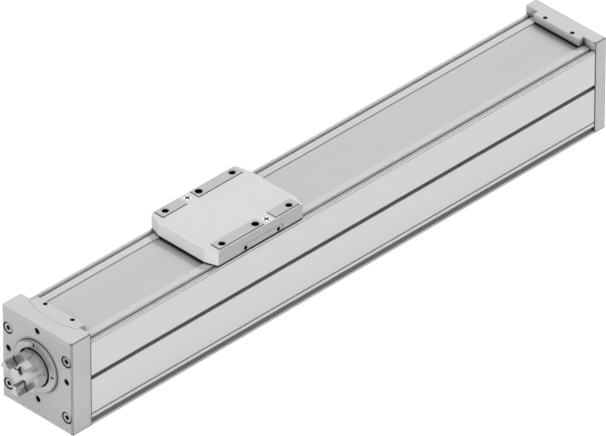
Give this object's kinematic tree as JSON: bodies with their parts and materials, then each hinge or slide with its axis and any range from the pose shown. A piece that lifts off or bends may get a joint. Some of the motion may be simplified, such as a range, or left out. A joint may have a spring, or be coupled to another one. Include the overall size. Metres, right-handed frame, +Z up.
{
  "type": "ball screw linear axis",
  "caption": "Enclosed ball screw linear axis: extruded profile, end caps, steel cover strip, guided carriage and a clawed coupling hub on the screw.",
  "frame": {"origin": "centre of the bounding box's bottom face, in the mounting plane", "axes": "+X along the travel from the drive end to the idle end, +Z up to the load face, the drive flange faces -X"},
  "size_m": [0.479, 0.06, 0.073],
  "materials": {
    "anodised_profile": "clear anodised, fine matte",
    "cap_metal": "clear anodised, machined",
    "inner_aluminium": "machined",
    "plated_screws": "zinc plated",
    "dark_screws": "black oxide",
    "bright_screws": "polished",
    "strip_steel": "rolled, satin",
    "magnet": "bonded ferrite, matte",
    "ground_steel": "ground",
    "turned_ring": "turned, bright rim",
    "hub_aluminium": "turned",
    "buffer_rubber": "matte",
    "runner_plastic": "moulded",
    "guide_plastic": "moulded",
    "cover_plastic": "smooth satin",
    "carriage_metal": "fine machined"
  },
  "bodies": {
    "base": {"profile": "anodised_profile", "drive_end_cap": "cap_metal", "idle_end_cap": "cap_metal", "drive_strip_clamp": "cap_metal", "idle_strip_clamp": "inner_aluminium", "drive_cap_screws": "plated_screws", "idle_cap_screws": "plated_screws", "drive_clamp_screws": "dark_screws", "idle_clamp_screws": "dark_screws", "strip_drive_side": "strip_steel", "strip_idle_side": "strip_steel", "magnet_strips": "magnet", "guide_rail": "ground_steel", "guide_rail_screws": "dark_screws", "fixed_bearing_outer_rings": "ground_steel", "fixed_bearing_balls": "ground_steel", "floating_bearing_outer_ring": "ground_steel", "floating_bearing_balls": "ground_steel", "bearing_retaining_ring": "turned_ring", "drive_buffer": "buffer_rubber", "idle_buffer": "buffer_rubber"},
    "carriage": {"strip_in_carriage": "strip_steel", "runner_blocks": "ground_steel", "runner_end_caps": "runner_plastic", "nut_carrier": "inner_aluminium", "carrier_screws": "dark_screws", "ball_nut": "ground_steel", "nut_screws": "dark_screws", "carriage_body": "carriage_metal", "bridge_screws": "dark_screws", "carriage_cover": "cover_plastic", "cover_screws": "bright_screws", "strip_guides": "guide_plastic", "strip_wipers": "buffer_rubber"},
    "spindle": {"ball_screw": "ground_steel", "bearing_lock_nut": "dark_screws", "idle_circlip": "dark_screws", "coupling_hub": "hub_aluminium", "hub_clamp_screw": "dark_screws", "fixed_bearing_inner_rings": "ground_steel", "floating_bearing_inner_ring": "ground_steel"}
  },
  "joints": [
    {"name": "carriage_slide", "type": "slide", "parent": "base", "child": "carriage", "axis": [1, 0, 0], "range_m": [-0.076, 0.224], "deforming": ["strip_drive_side", "strip_idle_side"]},
    {"name": "spindle_spin", "type": "hinge", "parent": "base", "child": "spindle", "pos_m": [0, 0, 0.0372], "axis": [1, 0, 0], "continuous": true}
  ],
  "couplings": [
    {"joint": "spindle_spin", "follows": "carriage_slide", "rad_per_m": -523.6}
  ]
}
